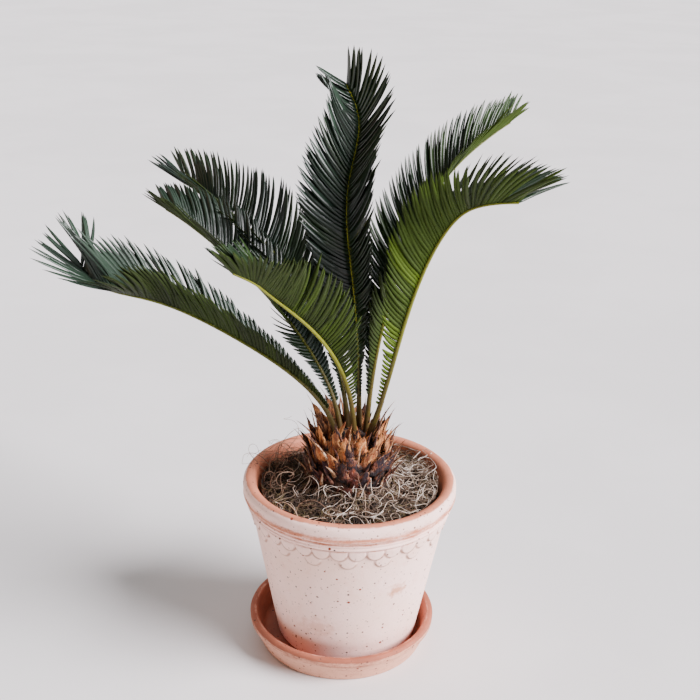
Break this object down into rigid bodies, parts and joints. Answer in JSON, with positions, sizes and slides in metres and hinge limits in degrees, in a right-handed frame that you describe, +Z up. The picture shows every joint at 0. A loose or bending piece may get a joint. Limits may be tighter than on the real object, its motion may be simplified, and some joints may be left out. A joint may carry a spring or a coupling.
{
  "type": "sago palm in a terracotta pot",
  "caption": "Young sago palm with arching feather-like fronds on a shaggy scaly trunk, moss around its foot, in a worn terracotta pot with a scalloped border, standing in a deep round saucer.",
  "frame": {"origin": "point on the saucer's flat underside straight below the pot's axis", "axes": "+Z up along the pot's axis, +Y from the plant's front to its back, +X to the right as seen from the front"},
  "size_m": [0.3103, 0.307, 0.3915],
  "materials": {
    "pot": "chalky white wash over worn unglazed terracotta",
    "saucer": "unglazed terracotta, chalky outside",
    "soil": "loose moist potting soil",
    "trunk": "dry fibrous leaf bases",
    "moss": "dry curly strands",
    "frond": "leathery, slightly glossy leaflets"
  },
  "bodies": {
    "root": {"saucer": "saucer", "pot": "pot", "soil": "soil", "trunk": "trunk", "moss": "moss", "frond_1": "frond", "frond_2": "frond", "frond_3": "frond", "frond_4": "frond", "frond_5": "frond", "frond_6": "frond", "frond_7": "frond"}
  },
  "joints": []
}
